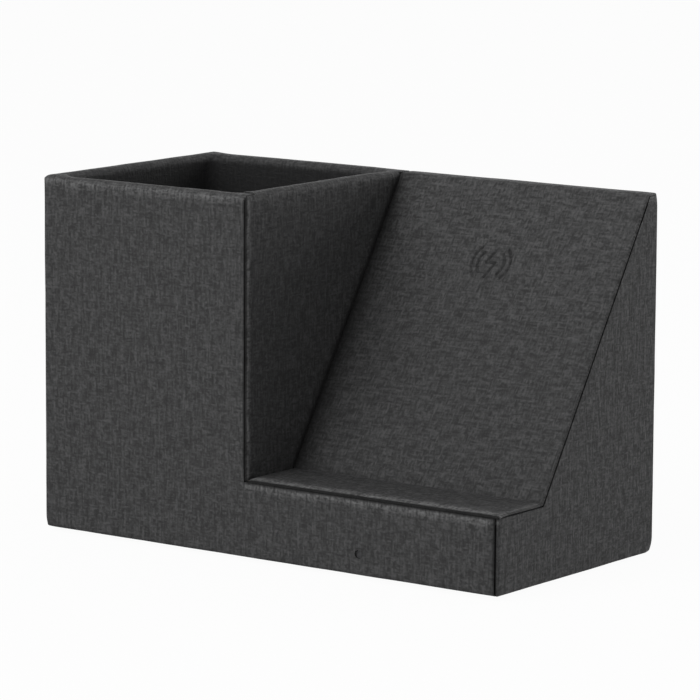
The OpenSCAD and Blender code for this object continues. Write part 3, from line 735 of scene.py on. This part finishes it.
# Paleness in these rolls is opened grain and painted highlight; the long roll below the crest is painted
# light only
BELT_ROLLS = (
    (beside_cup_seam, 1.4 * MM, 0.14 * MM, Y, 0.5 * MM, 0.12),
    (under_ledge_seam, 3.3 * MM, 0.28 * MM, Y, 1.1 * MM, 0.48),
    (beside_corner_seam, 2.0 * MM, 0.3 * MM, Y, 0.5 * MM, 0.0),
    (under_rim, 3.8 * MM, 0.0, Z, 1.5 * MM, 0.44),
)
DIVIDER_ROLLS = (
    (behind_divider_edge, 1.9 * MM, 0.25 * MM, -X, 0.0, 0.6),
    (under_divider_rim, 4.0 * MM, 0.0, Z, 1.4 * MM, 0.12),
)
REST_ROLLS = (
    (behind_ledge_edge, 4.8 * MM, 0.45 * MM, -Z, 1.2 * MM, 1.0),
    (beside_ledge_end, 2.0 * MM, 0.15 * MM, -Z, 0.5 * MM, 0.62),
    (beside_divider, 2.6 * MM, 0.45 * MM, -OFF_SLOPE, 0.1 * MM, 0.0),
    (below_crest, 62 * MM, 0.0, -OFF_SLOPE, 0.0, 0.085),
)


def raise_rim(form, rise_at):
    """Raises a rim a little, where the leather was folded over it by hand."""
    for vert in form.verts:
        share = 1 - (BODY_HIGH.z - vert.co.z) / RISE_H
        if share > 0:
            vert.co += Z * rise_at(vert.co) * share * share * (3 - 2 * share)


def belt_rise(p):
    """The belt's rim stands highest along the left side."""
    left = 0.34 * fade(p.x - BODY_LOW.x, 3 * MM, 9 * MM)
    back = 0.06 * fade(BODY_HIGH.y - p.y, 3 * MM, 9 * MM)
    rim = (0.13 + left + back) * fade(p.x - DIVIDER_X, -14 * MM, -1 * MM)
    # Beside the crest's end it is pushed up until it almost closes the seam
    crest_end = 0.5 * fade(BODY_HIGH.x - p.x, 2 * MM, 4 * MM) * fade(CREST_Y - p.y, 0.0, 1.5 * MM)
    return max(rim, crest_end) * MM


def divider_rise(p):
    """The divider's rim is higher, apart from its two ends."""
    front_end = 0.3 * fade(p.y - BODY_LOW.y, 2 * MM, 14 * MM)
    back_end = 0.5 * fade(BODY_HIGH.y - p.y, 6 * MM, 20 * MM)
    return (0.6 - front_end - back_end) * MM


# Corners where the leather is folded under or over: the corner, how high it is drawn in, and how far
DRAWN_CORNERS = (
    (Vector((BODY_HIGH.x, BODY_HIGH.y, BODY_LOW.z)), 5 * MM, Vector((-0.9, -0.9, 0.0)) * MM),
    (Vector((BODY_LOW.x, BODY_HIGH.y, BODY_LOW.z)), 5 * MM, Vector((0.9, -0.9, 0.0)) * MM),
    (Vector((BODY_LOW.x, BODY_LOW.y, BODY_LOW.z)), 4 * MM, Vector((0.5, 0.5, 0.0)) * MM),
    (Vector((BODY_HIGH.x, BODY_HIGH.y, BODY_HIGH.z)), 5 * MM, Vector((-0.4, -0.4, 0.0)) * MM),
)


def draw_in(form):
    """Pulls the leather in at the body's drawn corners."""
    for vert in form.verts:
        for corner, height, way in DRAWN_CORNERS:
            aside = vert.co - corner
            share = max(0.0, 1 - math.hypot(aside.x, aside.y) / DRAWN_R)
            share *= max(0.0, 1 - abs(aside.z) / height) ** 2
            vert.co += way * share


def mark_lining_tone_and_shade(form):
    """The edge turned into the cup is darkened to the lining's tone, partly as painted shade of the dim
    cup.
    """
    lining_tone_and_shade = form.verts.layers.float.new("lining_tone_and_shade")
    for vert in form.verts:
        p = vert.co
        inside = min(p.x - BODY_LOW.x, DIVIDER_X - p.x, p.y - BODY_LOW.y, BODY_HIGH.y - p.y)
        if inside > LINING_TONE_AND_SHADE_FROM and p.x < DIVIDER_X:
            lip = 1.2 * MM if p.x < DIVIDER_X - 8 * MM else 2.6 * MM
            vert[lining_tone_and_shade] = 1 - fade(BODY_HIGH.z - p.z, lip, lip + 1.6 * MM)


def wrap_belt():
    """The long cover round the body, over the cup's rim and under the base."""
    form = pattern_of("outer_cover")
    soften(form, belt_shows, SEAM_R)
    lay_grid(form, X, BODY_LOW.x, BODY_HIGH.x, GRID)
    lay_grid(form, Y, BODY_LOW.y, BODY_HIGH.y, GRID)
    lay_grid(form, Z, BODY_LOW.z, BODY_HIGH.z, GRID)
    lay_lines(form, Z, BODY_LOW.z, (0.8, 1.6, 3.4))
    lay_lines(form, Y, BODY_HIGH.y, (-1.0, -3.5))
    lay_lines(form, X, BODY_HIGH.x, (-1.0, -3.5))
    lay_lines(form, X, BODY_LOW.x, (1.0, 3.5))
    lay_lines(form, X, CUP_SEAM_X, (-0.9, -1.4))
    lay_lines(form, X, CORNER_SEAM_X, (-0.9, -1.3, -1.8))
    lay_lines(form, Z, LEDGE_SEAM_Z, (-0.9, -1.3, -1.8, -2.5, -3.4))
    lay_lines(form, Z, BODY_HIGH.z, RIM_LINES)
    form.normal_update()
    lay_flat(form, belt_place)
    mark_lining_tone_and_shade(form)
    roll_edges(form, BELT_ROLLS)
    raise_rim(form, belt_rise)
    draw_in(form)
    settle(form, UNEVEN, Vector((0.31, 0.12, 0.05)))
    return finish_cover(form, "wrapped_belt", "outer_cover", LEATHER)


def wrap_divider():
    """The cover of the divider's right face and rim."""
    form = pattern_of("divider_cover")
    soften(form, divider_shows, LIP_R)
    lay_grid(form, Y, BODY_LOW.y, BODY_HIGH.y, GRID)
    lay_grid(form, Z, BODY_LOW.z, BODY_HIGH.z, GRID)
    lay_lines(form, Y, BODY_LOW.y, (1.0, 1.5, 2.0))
    lay_lines(form, Z, BODY_HIGH.z, RIM_LINES)
    lay_lines(form, OFF_SLOPE, SLOPE_FOOT.dot(OFF_SLOPE), (-0.6, 0.4, 1.2, 2.2, 3.4))
    form.normal_update()
    lay_flat(form, divider_place)
    mark_lining_tone_and_shade(form)
    roll_edges(form, DIVIDER_ROLLS)
    raise_rim(form, divider_rise)
    settle(form, UNEVEN, Vector((0.11, 0.42, 0.25)))
    return finish_cover(form, "divider_leather", "divider_cover", LEATHER)


def stroke_distance(u, v):
    """Distance from a point of the slope to the middle of the sign's nearest stroke."""
    u, v = u - SIGN_CENTRE[0], v - SIGN_CENTRE[1]
    best = 1.0
    for (u0, v0), (u1, v1) in zip(SIGN_BOLT, SIGN_BOLT[1:]):
        start = Vector((u0 * MM, v0 * MM))
        run = Vector((u1 * MM, v1 * MM)) - start
        along = max(0.0, min(1.0, (Vector((u, v)) - start).dot(run) / run.length_squared))
        best = min(best, (Vector((u, v)) - start - along * run).length)
    turn = math.atan2(v, abs(u))
    held = max(-SIGN_RING_SPREAD, min(SIGN_RING_SPREAD, turn))
    for radius in SIGN_RINGS:
        end = Vector((radius * math.cos(held), radius * math.sin(held)))
        best = min(best, (Vector((abs(u), v)) - end).length)
    return best


def on_sign(face):
    c = face.calc_center_median() - SLOPE_FOOT
    return (abs(c.dot(OFF_SLOPE)) < SIGN_LAYER
            and abs(c.x - SIGN_CENTRE[0]) < SIGN_HALF[0]
            and abs(c.dot(UP_SLOPE) - SIGN_CENTRE[1]) < SIGN_HALF[1])


def press_sign(form):
    """The charging sign is stamped into the slope with a warm die; its strokes are darkened by the die
    and by painted shade.
    """
    pressed = form.verts.layers.float.new("pressed")
    for vert in form.verts:
        c = vert.co - SLOPE_FOOT
        if abs(c.dot(OFF_SLOPE)) > SIGN_LAYER or abs(c.dot(UP_SLOPE) - SIGN_CENTRE[1]) > SIGN_HALF[1]:
            continue
        fall = fade(stroke_distance(c.x, c.dot(UP_SLOPE)), SIGN_FLOOR, SIGN_FLOOR + SIGN_WALL)
        fall = fall * fall * (3 - 2 * fall)
        vert[pressed] = fall
        vert.co -= OFF_SLOPE * SIGN_DEPTH * fall


def wrap_rest():
    """The cover of ledge, slope and crest, with the charging sign."""
    form = pattern_of("rest_cover")
    soften(form, rest_shows, LIP_R)
    lay_grid(form, X, DIVIDER_X, BODY_HIGH.x, GRID)
    lay_grid(form, Z, LEDGE_Z, BODY_HIGH.z, GRID)
    lay_grid(form, Y, BODY_LOW.y, FOOT_Y, GRID)
    lay_lines(form, Y, BODY_LOW.y, (1.0, 1.5, 2.0, 2.8, 3.6, 4.4))
    lay_lines(form, X, BODY_HIGH.x, (-1.0, -1.5, -2.0))
    lay_lines(form, X, DIVIDER_X, (0.5, 1.0, 1.6, 2.4))
    roll_edges(form, REST_ROLLS)
    draw_in(form)
    settle(form, UNEVEN, Vector((0.51, 0.02, 0.15)))
    sign_up = SLOPE_FOOT.dot(UP_SLOPE) + SIGN_CENTRE[1]
    lay_grid(form, X, REST_X + SIGN_CENTRE[0] - SIGN_HALF[0], REST_X + SIGN_CENTRE[0] + SIGN_HALF[0],
             SIGN_GRID, on_sign)
    lay_grid(form, UP_SLOPE, sign_up - SIGN_HALF[1], sign_up + SIGN_HALF[1], SIGN_GRID, on_sign)
    form.normal_update()
    lay_flat(form, rest_place)
    press_sign(form)
    return finish_cover(form, "rest_leather", "rest_cover", LEATHER)


mark_joints_and_painted_shade([wrap_belt(), wrap_divider(), wrap_rest()])


# Lining, floor pad and the sheet underneath


def line_cup():
    """The thin lining, glued to the cup's walls."""
    form = pattern_of("cup_lining")
    soften(form, lambda face: face.calc_center_median().z > CUP_FLOOR_Z, 0.2 * MM, 2)
    lay_grid(form, X, BODY_LOW.x, DIVIDER_X, LINING_GRID)
    lay_grid(form, Y, BODY_LOW.y, BODY_HIGH.y, LINING_GRID)
    lay_grid(form, Z, CUP_FLOOR_Z, BODY_HIGH.z, LINING_GRID)
    settle(form, LINING_UNEVEN, Vector((0.21, 0.33, 0.08)))
    return finish_cover(form, "cup_lining_film", "cup_lining", LINING)


def lay_pad():
    """A thin felt pad with soft edges, a little crowned where it lies free of the walls."""
    form = pattern_of("cup_floor_pad")
    soften(form, lambda face: face.normal.z > 0.9, 0.7 * MM, 4)
    lay_grid(form, X, PAD_LOW.x, PAD_HIGH.x, LINING_GRID)
    lay_grid(form, Y, PAD_LOW.y, PAD_HIGH.y, LINING_GRID)
    middle, half = (PAD_LOW + PAD_HIGH) / 2, (PAD_HIGH - PAD_LOW) / 2
    for vert in form.verts:
        across = (vert.co.x - middle.x) / half.x
        along = (vert.co.y - middle.y) / half.y
        height = (vert.co.z - PAD_LOW.z) / (PAD_HIGH.z - PAD_LOW.z)
        rise = max(0.0, 1 - across ** 4) * max(0.0, 1 - along ** 4)
        ripple = noise.noise(Vector((vert.co.x, vert.co.y, 0.7)) / PAD_RIPPLE_W)
        vert.co.z += height * rise * (PAD_CROWN + PAD_RIPPLE * ripple)
    pad = finish_cover(form, "floor_pad", "cup_floor_pad", PAD_FELT)


def cover_base():
    """The felt-backed sheet over the underside."""
    form = pattern_of("base_cover")
    soften(form, lambda face: face.normal.z < -0.9, 0.25 * MM, 3)
    lay_grid(form, X, BODY_LOW.x, BODY_HIGH.x, BASE_GRID)
    lay_grid(form, Y, BODY_LOW.y, BODY_HIGH.y, BASE_GRID)
    settle(form, BASE_UNEVEN, Vector((0.15, 0.27, 0.44)))
    finish_cover(form, "base_sheet_felt", "base_cover", BASE_FELT)


line_cup()
lay_pad()
cover_base()


# Camera, from a perspective fit to the photograph

CAMERA_LENS = 220.19
CAMERA_AT = (0.810911, -1.097446, 0.281004)
CAMERA_RIGHT = Vector((0.80430064, 0.59419966, 0.00521929))
CAMERA_UP = Vector((-0.09763833, 0.12348772, 0.98753103))


def place_camera():
    lens = bpy.data.cameras.new("camera")
    lens.lens = CAMERA_LENS
    lens.sensor_width = 36
    lens.clip_end = 20
    camera = bpy.data.objects.new("camera", lens)
    turned = Matrix((CAMERA_RIGHT, CAMERA_UP, CAMERA_RIGHT.cross(CAMERA_UP))).transposed()
    camera.matrix_world = Matrix.Translation(CAMERA_AT) @ turned.to_4x4()
    bpy.context.scene.collection.objects.link(camera)
    bpy.context.scene.camera = camera


# Studio

WORLD_LEVEL = 0.31
FLOOR_WHITE_SHARE = 0.96
FLOOR_HALF = 6
LIT_MIDDLE = Vector((0, 0, 0.05))
# Each panel: its name, place, size in metres and power in watts
PANELS = (
    ("top_front_panel", (-0.33, -1.0, 1.15), (0.9, 0.9), 8.3),
    ("low_front_panel", (-0.25, -1.5, 0.35), (0.9, 0.6), 3.4),
    ("back_right_panel", (0.9, 1.15, 0.42), (0.8, 0.6), 4.8),
)


def panel_light(name, at, size, power):
    """A soft white panel turned to the object."""
    lamp = bpy.data.lights.new(name, "AREA")
    lamp.shape = "RECTANGLE"
    lamp.size, lamp.size_y = size
    lamp.energy = power
    light = bpy.data.objects.new(name, lamp)
    light.location = at
    light.rotation_euler = (LIT_MIDDLE - Vector(at)).to_track_quat("-Z", "Y").to_euler()
    bpy.context.scene.collection.objects.link(light)


def seen_white(tree, plain, share):
    """Shows white to the camera, in mirrors and through glass, and lights the object plainly."""
    path = tree.nodes.new("ShaderNodeLightPath")
    reach = path.outputs["Is Camera Ray"]
    for ray in ("Is Glossy Ray", "Is Transmission Ray"):
        either = tree.nodes.new("ShaderNodeMath")
        either.operation = "MAXIMUM"
        tree.links.new(reach, either.inputs[0])
        tree.links.new(path.outputs[ray], either.inputs[1])
        reach = either.outputs[0]
    scaled = tree.nodes.new("ShaderNodeMath")
    scaled.operation = "MULTIPLY"
    tree.links.new(reach, scaled.inputs[0])
    scaled.inputs[1].default_value = share
    mix = tree.nodes.new("ShaderNodeMixShader")
    tree.links.new(scaled.outputs[0], mix.inputs[0])
    tree.links.new(plain, mix.inputs[1])
    return mix


def lay_floor():
    """White paper that keeps the object's shadow."""
    form = bmesh.new()
    bmesh.ops.create_grid(form, x_segments=1, y_segments=1, size=FLOOR_HALF)
    mesh = bpy.data.meshes.new("floor")
    form.to_mesh(mesh)
    form.free()
    floor = bpy.data.objects.new("floor", mesh)
    bpy.context.scene.collection.objects.link(floor)
    paper = new_material("floor_paper", (0.9, 0.9, 0.9), 0.95, {"Specular IOR Level": 0.1})
    tree = paper.node_tree
    mix = seen_white(tree, tree.nodes["Principled BSDF"].outputs[0], FLOOR_WHITE_SHARE)
    glow = tree.nodes.new("ShaderNodeEmission")
    tree.links.new(glow.outputs[0], mix.inputs[2])
    tree.links.new(mix.outputs[0], tree.nodes["Material Output"].inputs["Surface"])
    mesh.materials.append(paper)


def light_room():
    """Plain light from all round and three panels."""
    world = bpy.data.worlds.new("studio")
    bpy.context.scene.world = world
    world.use_nodes = True
    tree = world.node_tree
    plain = tree.nodes["Background"]
    plain.inputs["Color"].default_value = (1, 1, 1, 1)
    plain.inputs["Strength"].default_value = WORLD_LEVEL
    white = tree.nodes.new("ShaderNodeBackground")
    white.inputs["Color"].default_value = (1, 1, 1, 1)
    white.inputs["Strength"].default_value = 1.0
    mix = seen_white(tree, plain.outputs[0], 1.0)
    tree.links.new(white.outputs[0], mix.inputs[2])
    tree.links.new(mix.outputs[0], tree.nodes["World Output"].inputs["Surface"])
    for panel in PANELS:
        panel_light(*panel)


place_camera()
lay_floor()
light_room()
bpy.context.scene.view_settings.view_transform = "Standard"
